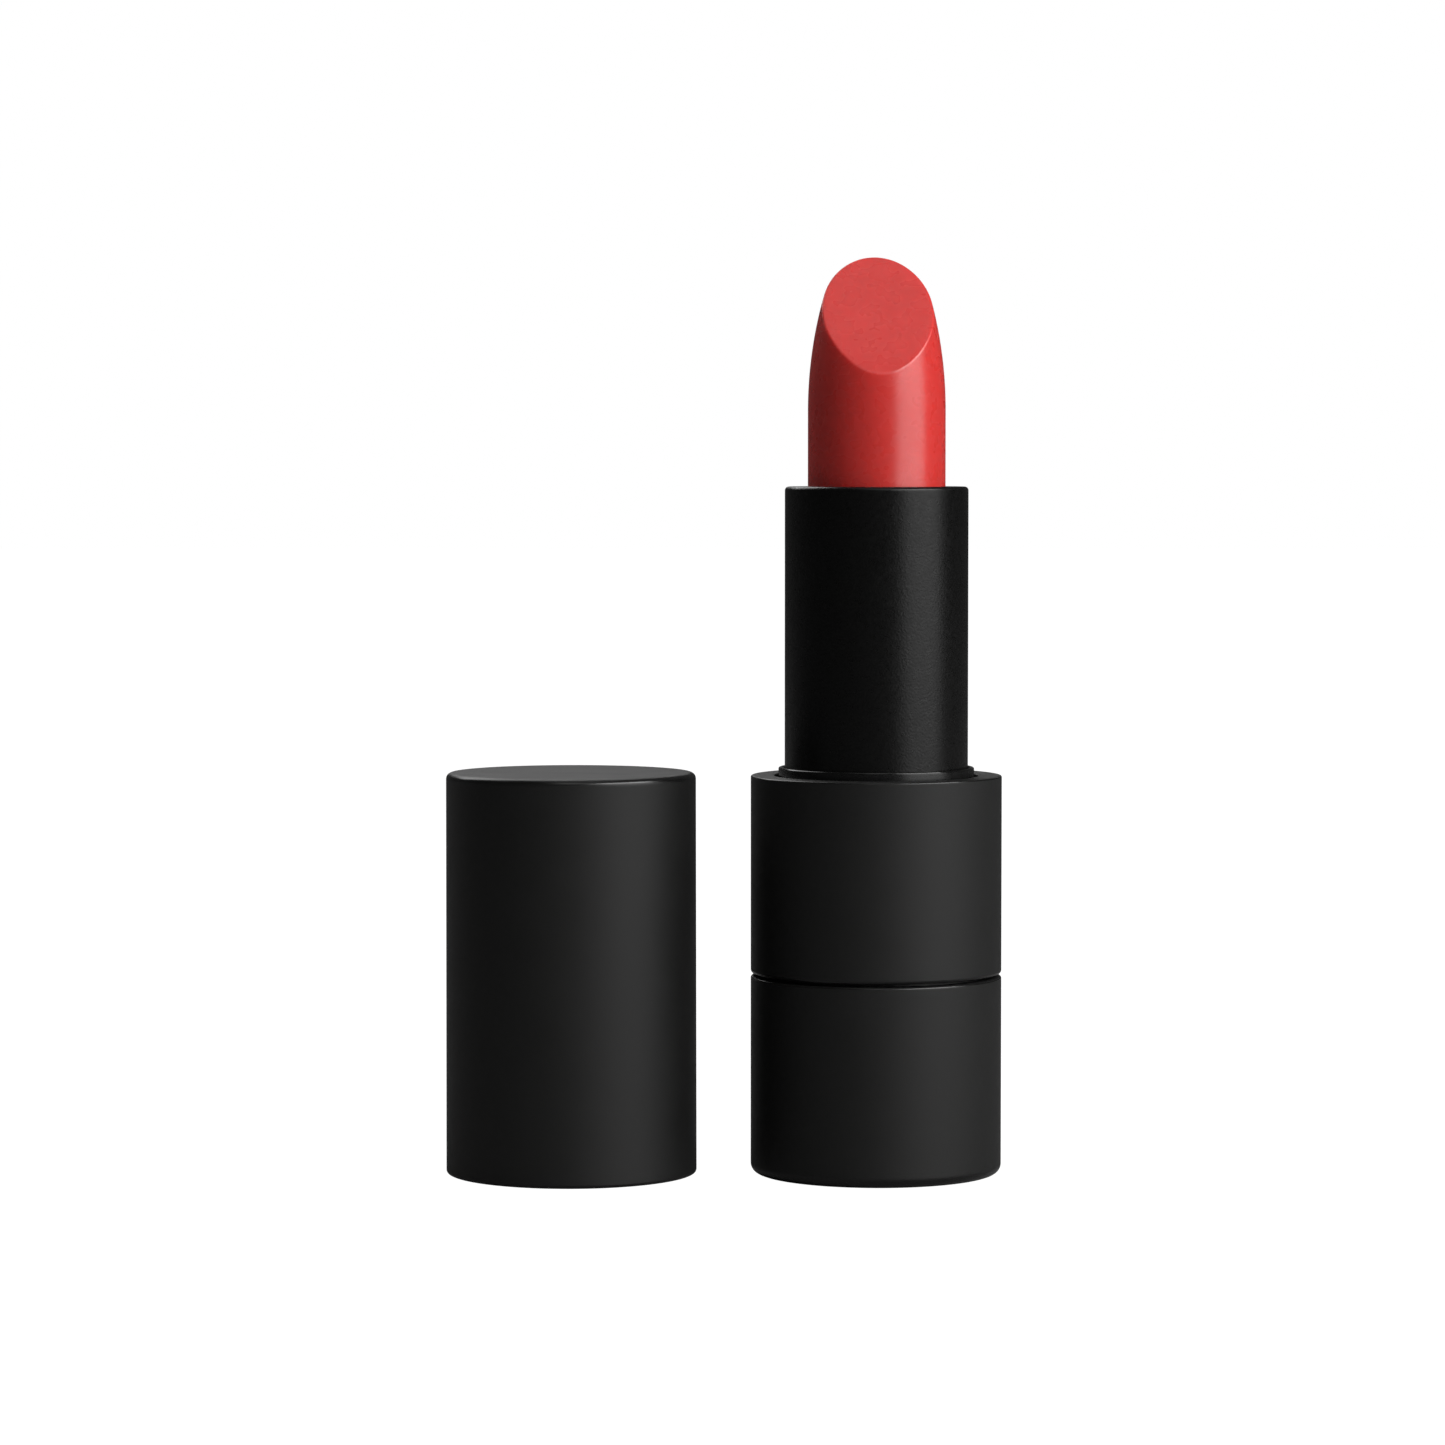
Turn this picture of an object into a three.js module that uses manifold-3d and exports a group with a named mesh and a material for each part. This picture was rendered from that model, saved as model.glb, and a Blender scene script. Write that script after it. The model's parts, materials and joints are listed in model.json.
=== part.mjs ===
// A twist-up lipstick case, open, with its bullet raised and its cap standing beside it.
// Lengths are millimetres and +Z is up. The origin is the centre of the case's underside,
// on the surface that the case and the cap stand on, and the bullet's cut face looks along -Y.
import * as THREE from "three";
import { mergeVertices } from "three/addons/utils/BufferGeometryUtils.js";
import Module from "manifold-3d";

const wasm = await Module();
wasm.setup();

// The outside: two sleeves of one height, and a cap that makes up half of the closed case.
const CASE_RADIUS = 11.1;
const CLOSED_HEIGHT = 71.1;
const SLEEVE_HEIGHT = 17.65;
const SEAM = 0.25;
const SHELL_WALL = 1.1;
const CAP_DISTANCE = 27;

// The tube that stands out of the collar, and the bullet that stands out of the tube.
const TUBE_RADIUS = 8.1;
const TUBE_SHOWN = 25.5;
const BULLET_RADIUS = 6.07;
const BULLET_SHOWN = 20.4;

// The twist: one and a quarter turns of the collar draw the bullet down by its travel.
const TRAVEL = 22.5;
const TRAVEL_TURNS = 1.25;

// Gaps between pieces that slide or turn on each other, and between pieces fixed together.
const RUNNING_GAP = 0.15;
const FIXED_GAP = 0.1;

const FACETS = 48;
const ROUND_STEPS = 2;
const FULL_TURN = 2 * Math.PI;

// Heights and radii that several pieces share.
const BASE_TOP = SLEEVE_HEIGHT - SEAM / 2;
const COLLAR_BOTTOM = SLEEVE_HEIGHT + SEAM / 2;
const COLLAR_TOP = 2 * SLEEVE_HEIGHT;
const CAP_HEIGHT = CLOSED_HEIGHT - COLLAR_TOP - SEAM;
const TUBE_TOP = COLLAR_TOP + TUBE_SHOWN;
const BULLET_TIP = TUBE_TOP + BULLET_SHOWN;
const SHELL_BORE = CASE_RADIUS - SHELL_WALL;
const LINER_RADIUS = SHELL_BORE - FIXED_GAP - 0.05;

// The mechanism's four walls, one inside the other: tube, cam, slotted tube, carrier cup.
const TUBE_BORE = TUBE_RADIUS - 0.4;
const CAM_RADIUS = TUBE_BORE - FIXED_GAP;
const CAM_BORE = CAM_RADIUS - 0.45;
const SLOTTED_RADIUS = CAM_BORE - RUNNING_GAP;
const SLOTTED_BORE = SLOTTED_RADIUS - 0.5;
const CUP_RADIUS = SLOTTED_BORE - RUNNING_GAP;
const CUP_BORE = CUP_RADIUS - 0.55;

// The carrier's two round lugs reach through the straight slots into the spiral ones.
const LUG_RADIUS = 0.75;
const LUG_GAP = 0.15;
const LUG_TIP = CAM_RADIUS - RUNNING_GAP;
const TUBE_LIP = 0.6;
const CUP_TOP = TUBE_TOP - TUBE_LIP - 0.3;
const CUP_HEIGHT = 13.1;
const CUP_BOTTOM = CUP_TOP - CUP_HEIGHT;
const LUG_HEIGHT = CUP_BOTTOM + 1.7;

const softBlack = { color: 0x1c1c1b, roughness: 0.62, metalness: 0 };
const satinBlack = { color: 0x111110, roughness: 0.42, metalness: 0.3 };
const glossBlack = { color: 0x0c0c0c, roughness: 0.22, metalness: 0 };
const innerBlack = { color: 0x232323, roughness: 0.55, metalness: 0 };
const clearWhite = { color: 0xd9d8d2, roughness: 0.45, metalness: 0 };
const steel = { color: 0x9b9c9e, roughness: 0.35, metalness: 1 };
const rubber = { color: 0x8f3d33, roughness: 0.8, metalness: 0 };
const redWax = { color: 0xc23c3a, roughness: 0.4, metalness: 0 };

function mesh(name, geometry, finish) {
  const piece = new THREE.Mesh(geometry, new THREE.MeshStandardMaterial(finish));
  piece.name = name;
  return piece;
}

// The points that round one corner of an outline, from the side before it to the side after.
function roundedCorner(before, corner, after, radius) {
  const back = before.clone().sub(corner).normalize();
  const ahead = after.clone().sub(corner).normalize();
  const halfAngle = back.angleTo(ahead) / 2;
  const centre = back.clone().add(ahead).normalize();
  centre.multiplyScalar(radius / Math.sin(halfAngle)).add(corner);
  const start = back.clone().multiplyScalar(radius / Math.tan(halfAngle)).add(corner);
  const turn = Math.sign(back.cross(ahead)) * (2 * halfAngle - Math.PI);
  const points = [];
  for (let i = 0; i <= ROUND_STEPS; i++) {
    points.push(start.clone().rotateAround(centre, (turn * i) / ROUND_STEPS));
  }
  return points;
}

// An outline from corners [radius, height] or [radius, height, rounding], in order.
function outline(corners, closed) {
  const points = corners.map(([r, z]) => new THREE.Vector2(r, z));
  const count = points.length;
  const result = [];
  corners.forEach(([, , rounding], i) => {
    if (!rounding) {
      result.push(points[i]);
      return;
    }
    const before = points[(i + count - 1) % count];
    const after = points[(i + 1) % count];
    result.push(...roundedCorner(before, points[i], after, rounding));
  });
  if (closed) result.push(result[0].clone());
  return result;
}

// Outlines run anticlockwise in the (radius, height) plane: up the outside, down the inside.
function turned(points) {
  return new THREE.LatheGeometry(points, FACETS).rotateX(Math.PI / 2);
}

function ring(corners) {
  return turned(outline(corners, true));
}

// A solid of revolution whose outline starts and ends on the axis.
function solidTurning(corners) {
  return turned(outline(corners, false));
}

function plainRing(inner, outer, bottom, top) {
  return ring([
    [inner, bottom],
    [outer, bottom],
    [outer, top],
    [inner, top],
  ]);
}

function toSolid(geometry) {
  const bare = geometry.clone();
  bare.deleteAttribute("normal");
  bare.deleteAttribute("uv");
  const merged = mergeVertices(bare, 1e-4);
  const vertProperties = new Float32Array(merged.attributes.position.array);
  const triVerts = new Uint32Array(merged.index.array);
  return new wasm.Manifold(new wasm.Mesh({ numProp: 3, vertProperties, triVerts }));
}

function toGeometry(solid) {
  const { vertProperties, triVerts } = solid.getMesh();
  const geometry = new THREE.BufferGeometry();
  geometry.setAttribute("position", new THREE.BufferAttribute(vertProperties, 3));
  geometry.setIndex(new THREE.BufferAttribute(triVerts, 1));
  geometry.computeVertexNormals();
  return geometry;
}

function subtract(geometry, cutters) {
  const solids = cutters.map(toSolid);
  return toGeometry(solids.reduce((left, cutter) => left.subtract(cutter), toSolid(geometry)));
}

function join(geometry, additions) {
  const solids = additions.map(toSolid);
  return toGeometry(solids.reduce((whole, extra) => whole.add(extra), toSolid(geometry)));
}

// ---- The base: what the other hand holds while the collar is turned ----

const PLUG_RADIUS = 8.45;
const PLUG_FLANGE_BOTTOM = 1.3;
const PLUG_TOP = 2.3;
const WEIGHT_TOP = 6.4;
const CORE_BOTTOM = 6.6;
const CORE_TOP = 17;
const FOOT_RADIUS = 7.4;
const FOOT_BOTTOM = 8.3;
const WASHER_TOP = 18.2;

function baseShell() {
  const opening = PLUG_RADIUS + 0.15;
  const shelf = PLUG_FLANGE_BOTTOM - FIXED_GAP;
  return ring([
    [opening, 0],
    [CASE_RADIUS, 0, 0.85],
    [CASE_RADIUS, BASE_TOP, 0.2],
    [SHELL_BORE, BASE_TOP],
    [SHELL_BORE, shelf],
    [opening, shelf],
  ]);
}

function basePlug() {
  return solidTurning([
    [0, 0],
    [PLUG_RADIUS, 0, 0.2],
    [PLUG_RADIUS, PLUG_FLANGE_BOTTOM],
    [LINER_RADIUS, PLUG_FLANGE_BOTTOM],
    [LINER_RADIUS, PLUG_TOP],
    [0, PLUG_TOP],
  ]);
}

function baseWeight() {
  return solidTurning([
    [0, PLUG_TOP + FIXED_GAP],
    [LINER_RADIUS - FIXED_GAP, PLUG_TOP + FIXED_GAP],
    [LINER_RADIUS - FIXED_GAP, WEIGHT_TOP],
    [0, WEIGHT_TOP],
  ]);
}

// The core's socket holds the slotted tube's foot.
function baseCore() {
  const socket = FOOT_RADIUS + FIXED_GAP;
  const socketFloor = FOOT_BOTTOM - FIXED_GAP;
  return solidTurning([
    [0, CORE_BOTTOM],
    [LINER_RADIUS, CORE_BOTTOM],
    [LINER_RADIUS, CORE_TOP],
    [socket, CORE_TOP],
    [socket, socketFloor],
    [0, socketFloor],
  ]);
}

// A rolled rim at the slotted tube's top keeps the cam from lifting off it.
const RIM_HEIGHT = 0.7;
const SLOTTED_TOP = TUBE_TOP - TUBE_LIP - 0.2;

function slottedTube() {
  const slotWidth = 2 * (LUG_RADIUS + 0.25);
  const slotHeight = TRAVEL + slotWidth;
  const tube = ring([
    [SLOTTED_BORE, FOOT_BOTTOM],
    [FOOT_RADIUS, FOOT_BOTTOM],
    [FOOT_RADIUS, CORE_TOP],
    [SLOTTED_RADIUS, CORE_TOP],
    [SLOTTED_RADIUS, SLOTTED_TOP - RIM_HEIGHT],
    [CAM_RADIUS - 0.1, SLOTTED_TOP - RIM_HEIGHT],
    [CAM_RADIUS - 0.1, SLOTTED_TOP],
    [SLOTTED_BORE, SLOTTED_TOP],
  ]);
  const slots = new THREE.BoxGeometry(4 * SLOTTED_RADIUS, slotWidth, slotHeight);
  slots.translate(0, 0, LUG_HEIGHT - TRAVEL / 2);
  return subtract(tube, [slots]);
}

function torqueRing() {
  const inner = SLOTTED_RADIUS + FIXED_GAP;
  const bottom = CORE_TOP + FIXED_GAP;
  const top = WASHER_TOP + 0.2;
  const rounding = 0.15;
  return ring([
    [inner, bottom, rounding],
    [CAM_RADIUS, bottom, rounding],
    [CAM_RADIUS, top, rounding],
    [inner, top, rounding],
  ]);
}

function glideWasher() {
  return plainRing(TUBE_RADIUS + 0.5, LINER_RADIUS, CORE_TOP + FIXED_GAP, WASHER_TOP);
}

// ---- The collar: it carries the tube and the spiral cam, and turns on the base ----

const CORE_COLLAR_BOTTOM = WASHER_TOP + RUNNING_GAP;
const CORE_COLLAR_TOP = 33;
const SNAP_RADIUS = 8.65;
const SNAP_TOP = COLLAR_TOP + 0.72;
const SNAP_FLANGE_TOP = 34;
const TUBE_BOTTOM = WASHER_TOP + 0.4;
const CAM_BOTTOM = WASHER_TOP + 0.5;

function collarShell() {
  const opening = 9;
  const shelf = SNAP_FLANGE_TOP + FIXED_GAP;
  return ring([
    [opening, shelf],
    [SHELL_BORE, shelf],
    [SHELL_BORE, COLLAR_BOTTOM],
    [CASE_RADIUS, COLLAR_BOTTOM, 0.3],
    [CASE_RADIUS, COLLAR_TOP, 0.16],
    [opening, COLLAR_TOP, 0.12],
  ]);
}

function collarCore() {
  return plainRing(TUBE_RADIUS + FIXED_GAP, LINER_RADIUS, CORE_COLLAR_BOTTOM, CORE_COLLAR_TOP);
}

// The ring at the tube's foot, held under the collar's top, clicks into the cap's liner.
function snapRing() {
  const bore = TUBE_RADIUS + FIXED_GAP;
  return ring([
    [bore, CORE_COLLAR_TOP + FIXED_GAP],
    [LINER_RADIUS - 0.2, CORE_COLLAR_TOP + FIXED_GAP],
    [LINER_RADIUS - 0.2, SNAP_FLANGE_TOP],
    [SNAP_RADIUS, SNAP_FLANGE_TOP],
    [SNAP_RADIUS, SNAP_TOP, 0.15],
    [bore, SNAP_TOP],
  ]);
}

function tube() {
  const mouth = BULLET_RADIUS + RUNNING_GAP;
  return ring([
    [TUBE_BORE, TUBE_BOTTOM],
    [TUBE_RADIUS, TUBE_BOTTOM],
    [TUBE_RADIUS, TUBE_TOP, 0.35],
    [mouth, TUBE_TOP, 0.15],
    [mouth, TUBE_TOP - TUBE_LIP],
    [TUBE_BORE, TUBE_TOP - TUBE_LIP],
  ]);
}

// The path of one lug through the cam's wall as the collar turns from raised to lowered,
// with room past each end for the lug's own radius.
class LugPath extends THREE.Curve {
  constructor(startAngle) {
    super();
    this.startAngle = startAngle;
    this.radius = (CAM_RADIUS + CAM_BORE) / 2;
    this.endRoom = (LUG_RADIUS + LUG_GAP + 0.05) / this.radius;
  }
  getPoint(t, target = new THREE.Vector3()) {
    const sweep = TRAVEL_TURNS * FULL_TURN + 2 * this.endRoom;
    const turn = t * sweep - this.endRoom;
    const angle = this.startAngle - turn;
    const height = LUG_HEIGHT - (TRAVEL * turn) / (TRAVEL_TURNS * FULL_TURN);
    return target.set(this.radius * Math.cos(angle), this.radius * Math.sin(angle), height);
  }
}

// A round bar bent along a lug's path.
function spiralCutter(startAngle) {
  const section = new THREE.Shape();
  section.absarc(0, 0, LUG_RADIUS + LUG_GAP, 0, FULL_TURN);
  return new THREE.ExtrudeGeometry(section, {
    steps: 36,
    curveSegments: 5,
    bevelEnabled: false,
    extrudePath: new LugPath(startAngle),
  });
}

function spiralCam() {
  const sleeve = plainRing(CAM_BORE, CAM_RADIUS, CAM_BOTTOM, SLOTTED_TOP - RIM_HEIGHT - RUNNING_GAP);
  return subtract(sleeve, [spiralCutter(0), spiralCutter(Math.PI)]);
}

// ---- The carrier: it slides in the slotted tube and holds the bullet ----

const CUP_FLOOR = 1;

function carrierCup() {
  const cup = solidTurning([
    [0, CUP_BOTTOM],
    [CUP_RADIUS, CUP_BOTTOM, 0.3],
    [CUP_RADIUS, CUP_TOP],
    [CUP_BORE, CUP_TOP],
    [CUP_BORE, CUP_BOTTOM + CUP_FLOOR],
    [0, CUP_BOTTOM + CUP_FLOOR],
  ]);
  const lugs = [-1, 1].map((side) => {
    const inner = CUP_BORE + 0.2;
    const lug = new THREE.CylinderGeometry(LUG_RADIUS, LUG_RADIUS, LUG_TIP - inner, 12);
    lug.rotateZ(Math.PI / 2);
    return lug.translate((side * (LUG_TIP + inner)) / 2, 0, LUG_HEIGHT);
  });
  return join(cup, lugs);
}

// The bullet: a round stick that narrows along an arc and is cut off by a slanted surface,
// which is flat for most of its length and bends gently downward near its foot.
const OGIVE_START = BULLET_TIP - 13.7;
const OGIVE_RADIUS = 37.2;
const OGIVE_STEPS = 6;
const CUT_ANGLE = THREE.MathUtils.degToRad(46.6);
const CUT_HEIGHT = BULLET_TIP - 3.7;
const CUT_TURN = THREE.MathUtils.degToRad(2.5);
const CUT_BEND_START = -3.15;
const CUT_BEND_RADIUS = 25.5;
const CUT_BEND_SWEEP = THREE.MathUtils.degToRad(14);

// What the cut takes off: a block whose underside follows the cut's profile.
function cutBlock() {
  const size = 4 * BULLET_RADIUS;
  const slope = Math.tan(CUT_ANGLE);
  const uphill = CUT_ANGLE + Math.PI / 2;
  const bendAcross = CUT_BEND_START - CUT_BEND_RADIUS * Math.cos(uphill);
  const bendHeight = CUT_BEND_START * slope - CUT_BEND_RADIUS * Math.sin(uphill);
  const profile = new THREE.Shape();
  profile.moveTo(size / 2, (slope * size) / 2);
  profile.lineTo(CUT_BEND_START, CUT_BEND_START * slope);
  profile.absarc(bendAcross, bendHeight, CUT_BEND_RADIUS, uphill, uphill + CUT_BEND_SWEEP);
  profile.lineTo(profile.currentPoint.x, size);
  profile.lineTo(size / 2, size);
  const settings = { depth: size, curveSegments: 2, bevelEnabled: false };
  const block = new THREE.ExtrudeGeometry(profile, settings);
  block.translate(0, 0, -size / 2);
  block.rotateX(Math.PI / 2);
  block.rotateZ(Math.PI / 2 + CUT_TURN);
  return block.translate(0, 0, CUT_HEIGHT);
}

function bullet() {
  const root = CUP_BORE - RUNNING_GAP;
  const points = outline(
    [
      [0, CUP_BOTTOM + CUP_FLOOR + FIXED_GAP],
      [root, CUP_BOTTOM + CUP_FLOOR + FIXED_GAP],
      [root, CUP_TOP + FIXED_GAP],
      [BULLET_RADIUS, CUP_TOP + FIXED_GAP],
    ],
    false,
  );
  const reach = BULLET_TIP + 1 - OGIVE_START;
  for (let i = 0; i <= OGIVE_STEPS; i++) {
    const rise = (reach * i) / OGIVE_STEPS;
    const narrowing = OGIVE_RADIUS - Math.sqrt(OGIVE_RADIUS ** 2 - rise ** 2);
    points.push(new THREE.Vector2(BULLET_RADIUS - narrowing, OGIVE_START + rise));
  }
  points.push(new THREE.Vector2(0, OGIVE_START + reach));
  return subtract(turned(points), [cutBlock()]);
}

// ---- The cap: a shell with a plastic liner, standing on its mouth ----

const CAP_TOP_WALL = 1.3;
const LINER_TOP_WALL = 1;
const LINER_BORE = TUBE_RADIUS + 0.25;

function capShell() {
  const ceiling = CAP_HEIGHT - CAP_TOP_WALL;
  return solidTurning([
    [0, ceiling],
    [SHELL_BORE, ceiling],
    [SHELL_BORE, 0, 0.15],
    [CASE_RADIUS, 0, 0.3],
    [CASE_RADIUS - 0.05, CAP_HEIGHT, 0.55],
    [0, CAP_HEIGHT],
  ]);
}

// The seat at the liner's mouth takes the snap ring when the cap is on.
function capLiner() {
  const mouth = 0.3;
  const seat = SNAP_RADIUS + RUNNING_GAP;
  const seatDepth = mouth + 1;
  const top = CAP_HEIGHT - CAP_TOP_WALL - FIXED_GAP;
  const ceiling = top - LINER_TOP_WALL;
  return solidTurning([
    [0, ceiling],
    [LINER_BORE, ceiling],
    [LINER_BORE, seatDepth],
    [seat, seatDepth],
    [seat, mouth],
    [LINER_RADIUS, mouth],
    [LINER_RADIUS, top],
    [0, top],
  ]);
}

const base = new THREE.Group();
base.add(
  mesh("base_shell", baseShell(), softBlack),
  mesh("base_plug", basePlug(), softBlack),
  mesh("base_weight", baseWeight(), steel),
  mesh("base_core", baseCore(), innerBlack),
  mesh("slotted_tube", slottedTube(), clearWhite),
  mesh("torque_ring", torqueRing(), rubber),
  mesh("glide_washer", glideWasher(), innerBlack),
);

const collar = new THREE.Group();
collar.add(
  mesh("collar_shell", collarShell(), softBlack),
  mesh("collar_core", collarCore(), innerBlack),
  mesh("snap_ring", snapRing(), glossBlack),
  mesh("sheath_tube", tube(), satinBlack),
  mesh("spiral_cam", spiralCam(), clearWhite),
);

const carrier = new THREE.Group();
carrier.add(
  mesh("carrier_cup", carrierCup(), clearWhite),
  mesh("bullet", bullet(), redWax),
);

const cap = new THREE.Group();
cap.add(
  mesh("cap_shell", capShell(), softBlack),
  mesh("cap_liner", capLiner(), innerBlack),
);
cap.position.x = -CAP_DISTANCE;

const lipstick = new THREE.Group();
lipstick.add(base, collar, carrier, cap);

export default lipstick;
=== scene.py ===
"""The looks of a twist-up lipstick case, open, with its cap standing beside it.

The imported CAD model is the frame. Its visible pieces are replaced by finely turned ones of the same
size, the bullet is built from its own formula, and every piece and CAD node gets a procedural
material. Lengths are metres, in the frame of the CAD model: +Z is up, the case stands on the origin.
"""

import json
import math

import bmesh
import bpy
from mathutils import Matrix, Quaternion, Vector


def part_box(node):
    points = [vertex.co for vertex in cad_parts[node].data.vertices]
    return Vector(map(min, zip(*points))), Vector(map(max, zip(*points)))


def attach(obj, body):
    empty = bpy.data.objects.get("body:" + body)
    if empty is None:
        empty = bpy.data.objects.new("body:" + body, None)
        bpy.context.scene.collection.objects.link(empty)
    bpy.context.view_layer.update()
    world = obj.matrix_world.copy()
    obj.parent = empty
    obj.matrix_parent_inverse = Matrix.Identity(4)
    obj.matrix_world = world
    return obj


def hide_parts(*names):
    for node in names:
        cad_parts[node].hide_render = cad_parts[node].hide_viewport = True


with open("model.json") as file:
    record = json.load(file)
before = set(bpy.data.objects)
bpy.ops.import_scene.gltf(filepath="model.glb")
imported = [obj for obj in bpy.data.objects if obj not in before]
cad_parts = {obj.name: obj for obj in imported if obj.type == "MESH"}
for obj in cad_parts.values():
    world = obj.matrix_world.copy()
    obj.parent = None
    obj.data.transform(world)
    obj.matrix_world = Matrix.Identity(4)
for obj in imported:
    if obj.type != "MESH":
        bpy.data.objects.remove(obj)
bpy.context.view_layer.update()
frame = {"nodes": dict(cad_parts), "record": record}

MM = 0.001
FULL_TURN = 2 * math.pi
CAD_SMOOTH_ANGLE = math.radians(20)
SEGMENTS = 192          # sides of a turned piece
ROUND_STEPS = 7         # stretches of a rounded corner
HOLD = 0.12 * MM        # how near a straight stretch's extra points are to its ends
SMOOTH_ANGLE = math.radians(38)

# Wall thicknesses and gaps of the moulded pieces.
SHELL_WALL = 1.1 * MM
TUBE_WALL = 0.4 * MM
TUBE_LIP = 0.6 * MM
RUNNING_GAP = 0.15 * MM
FIXED_GAP = 0.1 * MM

# The bullet's outline, and its slanted cut, which bends gently downward near its foot.
OGIVE_LENGTH = 13.7 * MM
OGIVE_RADIUS = 37.2 * MM
CUT_ANGLE = math.radians(46.6)
CUT_DROP = 3.7 * MM     # from the tip down to the cut's height on the axis
CUT_TURN = math.radians(2.5)
CUT_BEND_START = -3.15 * MM   # distance uphill from the axis
CUT_BEND_RADIUS = 25.5 * MM
RIM_REACH = 0.18 * MM   # how far the cut's rounded rim reaches down the side and into the cut


def round_box(node):
    """The centre across, radius, lowest and highest height of a round CAD node."""
    low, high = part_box(node)
    return (low.x + high.x) / 2, (high.x - low.x) / 2, low.z, high.z


# ---- Outlines and meshes ----

def rounded_corner(before, corner, after, radius):
    """The points that round one corner of an outline, in two or three dimensions."""
    back = (before - corner).normalized()
    ahead = (after - corner).normalized()
    half_angle = back.angle(ahead) / 2
    centre = corner + (back + ahead).normalized() * (radius / math.sin(half_angle))
    start = corner + back * (radius / math.tan(half_angle)) - centre
    end = corner + ahead * (radius / math.tan(half_angle)) - centre
    axis = start.cross(end).normalized()
    sweep = math.pi - 2 * half_angle
    return [
        centre + Quaternion(axis, sweep * step / ROUND_STEPS) @ start
        for step in range(ROUND_STEPS + 1)
    ]


def held(points, closed):
    """Adds a point near each end of every long straight stretch, so that its shading stays flat."""
    count = len(points)
    result = []
    for i, here in enumerate(points):
        result.append(here)
        if i == count - 1 and not closed:
            break
        there = points[(i + 1) % count]
        if (there - here).length > 4 * HOLD:
            along = (there - here).normalized() * HOLD
            result += [here + along, there - along]
    return result


def outline(corners, closed=True):
    """An outline from corners (radius, height) or (radius, height, rounding), in order."""
    points = [Vector((corner[0], 0, corner[1])) for corner in corners]
    count = len(points)
    result = []
    for i, corner in enumerate(corners):
        if len(corner) == 2:
            result.append(points[i])
            continue
        before, after = points[i - 1], points[(i + 1) % count]
        result += rounded_corner(before, points[i], after, corner[2])
    return held(result, closed)


def mesh_object(name, rows, closed):
    """An object from rows of points: each row joins the next, and a row of one point is a pole."""
    shape = bmesh.new()
    made = [[shape.verts.new(point) for point in row] for row in rows]
    pairs = list(zip(made, made[1:]))
    if closed:
        pairs.append((made[-1], made[0]))
    for lower, upper in pairs:
        count = max(len(lower), len(upper))
        for i in range(count):
            j = (i + 1) % count
            corners = [lower[i % len(lower)], lower[j % len(lower)]]
            corners += [upper[j % len(upper)], upper[i % len(upper)]]
            shape.faces.new(list(dict.fromkeys(corners)))
    bmesh.ops.recalc_face_normals(shape, faces=shape.faces)
    mesh = bpy.data.meshes.new(name)
    shape.to_mesh(mesh)
    shape.free()
    mesh.shade_smooth()
    mesh.set_sharp_from_angle(angle=SMOOTH_ANGLE)
    piece = bpy.data.objects.new(name, mesh)
    bpy.context.scene.collection.objects.link(piece)
    return piece


def circle(radius, height, centre_x):
    """One row of a turned piece, or its single point where it meets the axis."""
    if radius < 1e-9:
        return [Vector((centre_x, 0, height))]
    return [
        Vector((centre_x + radius * math.cos(angle), radius * math.sin(angle), height))
        for angle in (FULL_TURN * i / SEGMENTS for i in range(SEGMENTS))
    ]


def turned(name, points, centre_x=0.0, closed=True):
    """A piece turned from an outline about an upright axis."""
    return mesh_object(name, [circle(p.x, p.z, centre_x) for p in points], closed)


def finish_piece(piece, node, body, material):
    """Puts a fine piece in a CAD node's place."""
    piece.data.materials.append(material)
    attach(piece, body)
    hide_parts(node)


# ---- Materials ----

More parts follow.
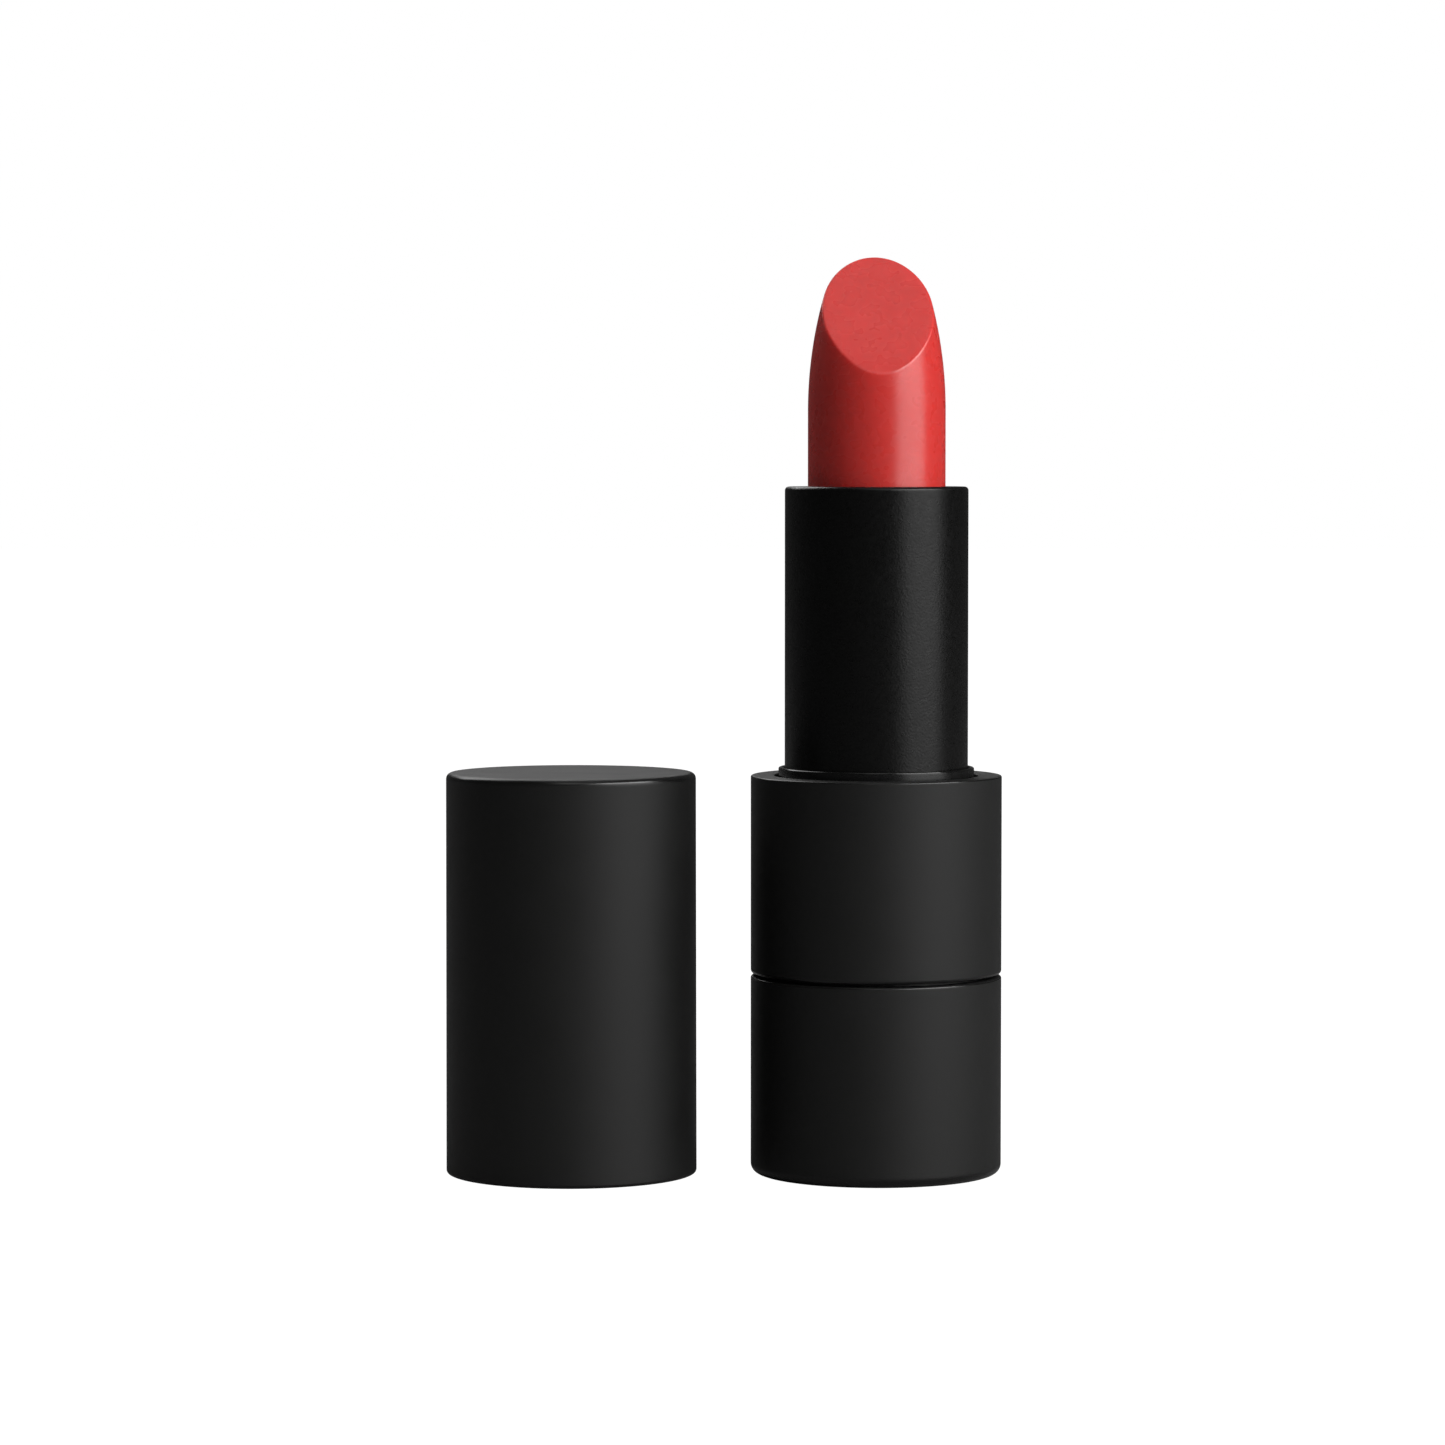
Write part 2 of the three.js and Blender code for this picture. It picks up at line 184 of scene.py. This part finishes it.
class Material:
    """A node material with a Principled shader, and short calls that add what it needs."""

    def __init__(self, name, color, roughness, specular, metallic=0.0):
        self.material = bpy.data.materials.new(name)
        self.material.use_nodes = True
        self.tree = self.material.node_tree
        self.shader = self.tree.nodes["Principled BSDF"]
        self.color = color
        self.roughness = roughness
        self.set("Base Color", (*color, 1))
        self.set("Roughness", roughness)
        self.set("Specular IOR Level", specular)
        self.set("Metallic", metallic)
        self.place = self.tree.nodes.new("ShaderNodeTexCoord").outputs["Object"]

    def set(self, socket, value):
        self.shader.inputs[socket].default_value = value

    def link(self, source, target):
        self.tree.links.new(source, target)

    def noise(self, size, detail=2.0, stretch=(1, 1, 1)):
        """A noise whose lumps are about this size, in metres, stretched along each axis."""
        mapping = self.tree.nodes.new("ShaderNodeMapping")
        mapping.inputs["Scale"].default_value = [1 / share for share in stretch]
        self.link(self.place, mapping.inputs["Vector"])
        noise = self.tree.nodes.new("ShaderNodeTexNoise")
        noise.inputs["Scale"].default_value = 1 / size
        noise.inputs["Detail"].default_value = detail
        self.link(mapping.outputs["Vector"], noise.inputs["Vector"])
        return noise.outputs["Fac"]

    def spread(self, source, low, high):
        """Maps a noise's middle range to low..high."""
        node = self.tree.nodes.new("ShaderNodeMapRange")
        node.inputs["From Min"].default_value = 0.3
        node.inputs["From Max"].default_value = 0.7
        node.inputs["To Min"].default_value = low
        node.inputs["To Max"].default_value = high
        self.link(source, node.inputs["Value"])
        return node.outputs["Result"]

    def vary_roughness(self, source, amount):
        """Makes the surface rougher and smoother by an amount."""
        spread = self.spread(source, self.roughness - amount, self.roughness + amount)
        self.link(spread, self.shader.inputs["Roughness"])

    def math(self, operation, first, second):
        """One step of arithmetic on numbers or on other nodes' outputs."""
        node = self.tree.nodes.new("ShaderNodeMath")
        node.operation = operation
        for socket, value in zip(node.inputs, (first, second)):
            if isinstance(value, (int, float)):
                socket.default_value = value
            else:
                self.link(value, socket)
        return node.outputs["Value"]

    def polish_edges(self, smoothest):
        """Brings the roughness down to smoothest where the surface leans between upright and flat."""
        normal = self.tree.nodes.new("ShaderNodeNewGeometry").outputs["Normal"]
        split = self.tree.nodes.new("ShaderNodeSeparateXYZ")
        self.link(normal, split.inputs["Vector"])
        tilt = self.math("ABSOLUTE", split.outputs["Z"], 0)
        humped = self.math("MULTIPLY", tilt, self.math("SUBTRACT", 1, tilt))
        lean = self.math("MULTIPLY", humped, 4)
        drop = self.math("MULTIPLY", lean, self.roughness - smoothest)
        old = self.shader.inputs["Roughness"].links[0].from_socket
        self.link(self.math("SUBTRACT", old, drop), self.shader.inputs["Roughness"])

    def vary_color(self, source, amount):
        """Lightens and darkens the colour by a share of itself."""
        mix = self.tree.nodes.new("ShaderNodeMix")
        mix.data_type = "RGBA"
        mix.inputs["A"].default_value = (*[c * (1 - amount) for c in self.color], 1)
        mix.inputs["B"].default_value = (*[c * (1 + amount) for c in self.color], 1)
        self.link(self.spread(source, 0, 1), mix.inputs["Factor"])
        self.link(mix.outputs["Result"], self.shader.inputs["Base Color"])

    def bump(self, source, depth):
        """Raises the surface by a noise."""
        node = self.tree.nodes.new("ShaderNodeBump")
        node.inputs["Distance"].default_value = depth
        self.link(source, node.inputs["Height"])
        self.link(node.outputs["Normal"], self.shader.inputs["Normal"])


def soft_touch_black():
    """Matt black soft-touch paint: fine grain, faint cloudiness, and edges that hands rub smooth."""
    look = Material("soft_touch_black", (0.0062, 0.0062, 0.0060), 0.57, 0.38)
    grain = look.noise(0.16 * MM, detail=3)
    cloud = look.noise(4 * MM, detail=2)
    look.vary_color(cloud, 0.08)
    look.vary_roughness(cloud, 0.02)
    look.polish_edges(0.22)
    look.bump(grain, 0.006 * MM)
    return look.material


def tube_black():
    """Satin black anodised metal with a fine sparkling grain."""
    look = Material("tube_black", (0.0026, 0.0026, 0.0025), 0.31, 0.25)
    grain = look.noise(0.20 * MM, detail=4)
    look.vary_color(look.noise(3 * MM), 0.10)
    look.vary_roughness(look.noise(0.5 * MM, detail=3), 0.05)
    look.bump(grain, 0.020 * MM)
    return look.material


def ring_black():
    """Smooth satin plastic, glossier on its rounded edges."""
    look = Material("ring_black", (0.0045, 0.0045, 0.0045), 0.28, 0.42)
    look.vary_roughness(look.noise(0.8 * MM), 0.04)
    look.polish_edges(0.10)
    look.bump(look.noise(0.5 * MM), 0.002 * MM)
    return look.material


def inner_black():
    """Plain black moulded plastic."""
    look = Material("inner_black", (0.014, 0.014, 0.014), 0.45, 0.4)
    look.vary_roughness(look.noise(1.5 * MM), 0.05)
    look.bump(look.noise(0.3 * MM), 0.004 * MM)
    return look.material


def natural_plastic():
    """Uncoloured moulded plastic, slightly see-through in thin walls."""
    look = Material("natural_plastic", (0.66, 0.64, 0.58), 0.35, 0.5)
    look.set("Subsurface Weight", 0.3)
    look.set("Subsurface Scale", 1 * MM)
    look.vary_roughness(look.noise(1.2 * MM), 0.05)
    look.bump(look.noise(0.6 * MM), 0.004 * MM)
    return look.material


def weight_steel():
    """Turned steel with fine tool marks round the axis."""
    look = Material("weight_steel", (0.42, 0.42, 0.43), 0.3, 0.5, metallic=1.0)
    marks = look.noise(0.25 * MM, stretch=(6, 6, 0.3))
    look.vary_roughness(marks, 0.08)
    look.bump(marks, 0.003 * MM)
    return look.material


def silicone_red():
    """Soft matt silicone."""
    look = Material("silicone_red", (0.27, 0.05, 0.035), 0.7, 0.4)
    look.vary_color(look.noise(0.8 * MM), 0.08)
    look.bump(look.noise(0.2 * MM), 0.004 * MM)
    return look.material


def red_wax():
    """Satin lipstick wax: soft light under the surface, and faint clouds that run along its length."""
    look = Material("red_wax", (0.64, 0.038, 0.033), 0.28, 0.66)
    look.set("Subsurface Weight", 0.4)
    look.set("Subsurface Radius", (1.0, 0.16, 0.12))
    look.set("Subsurface Scale", 2.2 * MM)
    look.vary_color(look.noise(1.6 * MM, detail=1, stretch=(1, 1, 5)), 0.025)
    look.vary_roughness(look.noise(1.2 * MM, detail=1), 0.03)
    return look.material


MATERIALS = {
    "soft_touch_black": soft_touch_black(),
    "tube_black": tube_black(),
    "ring_black": ring_black(),
    "inner_black": inner_black(),
    "natural_plastic": natural_plastic(),
    "weight_steel": weight_steel(),
    "silicone_red": silicone_red(),
    "red_wax": red_wax(),
}


def dress_cad_nodes():
    """Gives every CAD node the material of its slot in the record."""
    for part in frame["record"]["subparts"]:
        node = frame["nodes"][part["node"]]
        node.data.materials.clear()
        node.data.materials.append(MATERIALS[part["material_slot"]])
        node.data.shade_smooth()
        node.data.set_sharp_from_angle(angle=CAD_SMOOTH_ANGLE)


# ---- The case's pieces ----

def base_sleeve():
    _, radius, bottom, top = round_box("base_shell")
    bore = radius - SHELL_WALL
    opening = 8.6 * MM
    shelf = 1.2 * MM
    points = outline([
        (opening, bottom, 0.15 * MM),
        (radius, bottom, 0.85 * MM),
        (radius, top, 0.2 * MM),
        (bore, top, 0.1 * MM),
        (bore, shelf),
        (opening, shelf),
    ])
    piece = turned("base_sleeve", points)
    finish_piece(piece, "base_shell", "base", MATERIALS["soft_touch_black"])


def underside_disc():
    """The disc that closes the underside, with a shallow turned ring near its edge."""
    _, flange, bottom, top = round_box("base_plug")
    radius = 8.45 * MM
    flange_bottom = 1.3 * MM
    ring_outer, ring_inner, ring_depth = 6.9 * MM, 6.5 * MM, 0.12 * MM
    points = outline([
        (0, bottom),
        (ring_inner, bottom, 0.05 * MM),
        (ring_inner, bottom + ring_depth),
        (ring_outer, bottom + ring_depth),
        (ring_outer, bottom, 0.05 * MM),
        (radius, bottom, 0.2 * MM),
        (radius, flange_bottom),
        (flange, flange_bottom),
        (flange, top),
        (0, top),
    ], closed=False)
    piece = turned("underside_disc", points, closed=False)
    finish_piece(piece, "base_plug", "base", MATERIALS["soft_touch_black"])


def collar_sleeve():
    _, radius, bottom, top = round_box("collar_shell")
    bore = radius - SHELL_WALL
    opening = 9 * MM
    shelf = top - 1.2 * MM
    points = outline([
        (opening, shelf),
        (bore, shelf),
        (bore, bottom, 0.1 * MM),
        (radius, bottom, 0.3 * MM),
        (radius, top, 0.16 * MM),
        (opening, top, 0.12 * MM),
    ])
    piece = turned("collar_sleeve", points)
    finish_piece(piece, "collar_shell", "collar", MATERIALS["soft_touch_black"])


def neck_ring():
    _, flange, bottom, top = round_box("snap_ring")
    bore = round_box("sheath_tube")[1] + FIXED_GAP
    radius = 8.65 * MM
    flange_top = bottom + 0.9 * MM
    points = outline([
        (bore, bottom),
        (flange, bottom),
        (flange, flange_top),
        (radius, flange_top),
        (radius, top, 0.15 * MM),
        (bore, top, 0.1 * MM),
    ])
    piece = turned("neck_ring", points)
    finish_piece(piece, "snap_ring", "collar", MATERIALS["ring_black"])


def satin_tube():
    _, radius, bottom, top = round_box("sheath_tube")
    bore = radius - TUBE_WALL
    mouth = round_box("bullet")[1] + RUNNING_GAP
    points = outline([
        (bore, bottom),
        (radius, bottom),
        (radius, top, 0.35 * MM),
        (mouth, top, 0.15 * MM),
        (mouth, top - TUBE_LIP),
        (bore, top - TUBE_LIP),
    ])
    piece = turned("satin_tube", points)
    finish_piece(piece, "sheath_tube", "collar", MATERIALS["tube_black"])


def cap_sleeve():
    centre_x, radius, bottom, top = round_box("cap_shell")
    bore = radius - SHELL_WALL
    ceiling = top - 1.3 * MM
    draft = 0.05 * MM
    points = outline([
        (0, ceiling),
        (bore, ceiling, 0.5 * MM),
        (bore, bottom, 0.15 * MM),
        (radius, bottom, 0.3 * MM),
        (radius - draft, top, 0.55 * MM),
        (0, top),
    ], closed=False)
    piece = turned("cap_sleeve", points, centre_x, closed=False)
    finish_piece(piece, "cap_shell", "cap", MATERIALS["soft_touch_black"])


def cap_lining():
    centre_x, radius, bottom, top = round_box("cap_liner")
    bore = round_box("sheath_tube")[1] + 0.25 * MM
    seat = 8.8 * MM
    seat_top = bottom + 1 * MM
    ceiling = top - 1 * MM
    points = outline([
        (0, ceiling),
        (bore, ceiling, 0.6 * MM),
        (bore, seat_top, 0.15 * MM),
        (seat, seat_top, 0.1 * MM),
        (seat, bottom, 0.2 * MM),
        (radius, bottom, 0.15 * MM),
        (radius, top),
        (0, top),
    ], closed=False)
    piece = turned("cap_lining", points, centre_x, closed=False)
    finish_piece(piece, "cap_liner", "cap", MATERIALS["inner_black"])


# ---- The bullet ----

def cut_rise(across):
    """The cut's height above its height on the axis, at a distance uphill from the axis."""
    slope = math.tan(CUT_ANGLE)
    if across > CUT_BEND_START:
        return across * slope
    bend_across = CUT_BEND_START + CUT_BEND_RADIUS * math.sin(CUT_ANGLE)
    bend_height = CUT_BEND_START * slope - CUT_BEND_RADIUS * math.cos(CUT_ANGLE)
    return bend_height + math.sqrt(CUT_BEND_RADIUS ** 2 - (across - bend_across) ** 2)


def bullet_stick():
    """A round stick that narrows along an arc and ends in a slanted cut with a crisp rim.

    Its rows climb the side at one share of each column's own height, round the rim, and then
    close in on the cut's middle.
    """
    _, radius, bottom, _ = round_box("bullet")
    stick_length = 33.3 * MM
    root = 5.65 * MM
    shoulder = round_box("carrier_cup")[3] + FIXED_GAP
    top = bottom + stick_length
    ogive_start = top - OGIVE_LENGTH
    cut_height = top - CUT_DROP

    def on_side(angle, height):
        rise = max(0.0, height - ogive_start)
        reach = radius - OGIVE_RADIUS + math.sqrt(OGIVE_RADIUS ** 2 - rise ** 2)
        return Vector((reach * math.cos(angle), reach * math.sin(angle), height))

    def on_cut(x, y):
        uphill = y * math.cos(CUT_TURN) - x * math.sin(CUT_TURN)
        return Vector((x, y, cut_height + cut_rise(uphill)))

    def rim_height(angle):
        """Where the side meets the cut, found by halving."""
        low, high = shoulder, top + MM
        for _ in range(40):
            middle = on_side(angle, (low + high) / 2)
            if middle.z < on_cut(middle.x, middle.y).z:
                low = middle.z
            else:
                high = middle.z
        return low

    side_steps = 40
    cut_steps = 24
    sample = 0.4 * MM   # how far below the rim the side's direction is taken
    columns = []
    for i in range(SEGMENTS):
        angle = FULL_TURN * i / SEGMENTS
        rim = rim_height(angle)
        edge = on_side(angle, rim)
        below = on_side(angle, rim - sample)
        inward = on_cut(0.93 * edge.x, 0.93 * edge.y)
        half_angle = (below - edge).angle(inward - edge) / 2
        corner = rounded_corner(below, edge, inward, RIM_REACH * math.tan(half_angle))
        foot = corner[0].z
        column = [on_side(angle, shoulder + (foot - shoulder) * step / side_steps)
                  for step in range(side_steps)]
        column += corner
        for step in range(1, cut_steps):
            share = 1 - step / cut_steps
            column.append(on_cut(corner[-1].x * share, corner[-1].y * share))
        columns.append(column)
    rows = [list(row) for row in zip(*columns)]
    rows.append([on_cut(0, 0)])
    root_outline = outline([(0, bottom), (root, bottom, 0.3 * MM), (root, shoulder)], closed=False)
    root_rows = [circle(point.x, point.z, 0) for point in root_outline]
    piece = mesh_object("lipstick_bullet", root_rows + rows, closed=False)
    finish_piece(piece, "bullet", "carrier", MATERIALS["red_wax"])


# ---- The stage ----

def stage_material(name, glow_share, glow_strength, bounce):
    """White and softly shadowed from above, throwing little light back, and clear from below."""
    material = bpy.data.materials.new(name)
    material.use_nodes = True
    tree = material.node_tree
    tree.nodes.clear()
    output = tree.nodes.new("ShaderNodeOutputMaterial")
    mix = tree.nodes.new("ShaderNodeMixShader")
    paint = tree.nodes.new("ShaderNodeBsdfDiffuse")
    paint.inputs["Color"].default_value = (bounce, bounce, bounce, 1)
    glow = tree.nodes.new("ShaderNodeEmission")
    glow.inputs["Strength"].default_value = glow_strength
    seen = tree.nodes.new("ShaderNodeLightPath").outputs["Is Camera Ray"]
    share = tree.nodes.new("ShaderNodeMath")
    share.operation = "MULTIPLY"
    share.inputs[1].default_value = glow_share
    tree.links.new(seen, share.inputs[0])
    tree.links.new(share.outputs[0], mix.inputs["Fac"])
    tree.links.new(paint.outputs[0], mix.inputs[1])
    tree.links.new(glow.outputs[0], mix.inputs[2])
    clear = tree.nodes.new("ShaderNodeBsdfTransparent")
    from_below = tree.nodes.new("ShaderNodeNewGeometry").outputs["Backfacing"]
    sided = tree.nodes.new("ShaderNodeMixShader")
    tree.links.new(from_below, sided.inputs["Fac"])
    tree.links.new(mix.outputs[0], sided.inputs[1])
    tree.links.new(clear.outputs[0], sided.inputs[2])
    tree.links.new(sided.outputs[0], output.inputs["Surface"])
    return material


def add_floor():
    """A wide floor, a hair under the object's feet so that the underside isn't lost in it."""
    size = 3.0
    drop = 0.02 * MM
    mesh = bpy.data.meshes.new("floor")
    signs = [(-1, -1), (1, -1), (1, 1), (-1, 1)]
    corners = [(x * size, y * size, -drop) for x, y in signs]
    mesh.from_pydata(corners, [], [(0, 1, 2, 3)])
    mesh.materials.append(stage_material("floor_pale", 0.6, 1.7, 0.25))
    floor = bpy.data.objects.new("floor", mesh)
    bpy.context.scene.collection.objects.link(floor)


def add_world(fill):
    """White to the camera, and a dim even fill to everything else."""
    world = bpy.data.worlds.new("studio")
    bpy.context.scene.world = world
    world.use_nodes = True
    tree = world.node_tree
    tree.nodes.clear()
    output = tree.nodes.new("ShaderNodeOutputWorld")
    mix = tree.nodes.new("ShaderNodeMixShader")
    dim = tree.nodes.new("ShaderNodeBackground")
    dim.inputs["Color"].default_value = (fill, fill, fill, 1)
    white = tree.nodes.new("ShaderNodeBackground")
    white.inputs["Color"].default_value = (1, 1, 1, 1)
    seen = tree.nodes.new("ShaderNodeLightPath").outputs["Is Camera Ray"]
    tree.links.new(seen, mix.inputs["Fac"])
    tree.links.new(dim.outputs[0], mix.inputs[1])
    tree.links.new(white.outputs[0], mix.inputs[2])
    tree.links.new(mix.outputs[0], output.inputs["Surface"])


def toward(azimuth, elevation):
    """A direction, in degrees: azimuth from the camera's side (-Y) towards +X, and elevation."""
    across, up = math.radians(azimuth), math.radians(elevation)
    return Vector((
        math.sin(across) * math.cos(up),
        -math.cos(across) * math.cos(up),
        math.sin(up),
    ))


def add_softbox(name, azimuth, elevation, distance, width, height, power):
    """A rectangular light aimed at the case's middle."""
    target = Vector((0, 0, round_box("sheath_tube")[3] / 2))
    direction = toward(azimuth, elevation)
    light = bpy.data.lights.new(name, "AREA")
    light.shape = "RECTANGLE"
    light.size = width
    light.size_y = height
    light.energy = power
    lamp = bpy.data.objects.new(name, light)
    lamp.location = target + direction * distance
    lamp.rotation_euler = direction.to_track_quat("Z", "Y").to_euler()
    bpy.context.scene.collection.objects.link(lamp)


def add_sun(name, azimuth, elevation, spread, strength):
    """Soft light from one side that is as strong everywhere, so the floor is lit evenly."""
    light = bpy.data.lights.new(name, "SUN")
    light.angle = math.radians(spread)
    light.energy = strength
    lamp = bpy.data.objects.new(name, light)
    lamp.rotation_euler = toward(azimuth, elevation).to_track_quat("Z", "Y").to_euler()
    bpy.context.scene.collection.objects.link(lamp)


def add_camera():
    """A camera in front, just above the tube's mouth, that looks slightly down at the middle."""
    middle_x = round_box("cap_shell")[0] / 2 - 0.1 * MM
    eye_height = round_box("sheath_tube")[3] + 2.8 * MM
    aim_height = 39.95 * MM
    distance = 0.453
    data = bpy.data.cameras.new("camera")
    data.sensor_width = 36
    data.lens = 127.8
    data.clip_start = 0.01
    camera = bpy.data.objects.new("camera", data)
    camera.location = (middle_x, -distance, eye_height)
    tilt = math.atan((eye_height - aim_height) / distance)
    camera.rotation_euler = (math.pi / 2 - tilt, 0, 0)
    bpy.context.scene.collection.objects.link(camera)
    bpy.context.scene.camera = camera


add_camera()
add_floor()
add_world(fill=0.05)
add_softbox("key", azimuth=58, elevation=6, distance=0.5, width=0.48, height=0.5, power=2.0)
add_softbox("strip", azimuth=57, elevation=40, distance=0.5, width=0.5, height=0.12, power=2.0)
add_softbox("overhead", azimuth=0, elevation=86, distance=0.5, width=0.3, height=0.3, power=0.16)
add_softbox("back", azimuth=208, elevation=42, distance=0.5, width=0.45, height=0.3, power=1.2)
add_sun("top", azimuth=0, elevation=48, spread=25, strength=0.2)
bpy.context.scene.view_settings.view_transform = "Standard"

dress_cad_nodes()
base_sleeve()
underside_disc()
collar_sleeve()
neck_ring()
satin_tube()
cap_sleeve()
cap_lining()
bullet_stick()
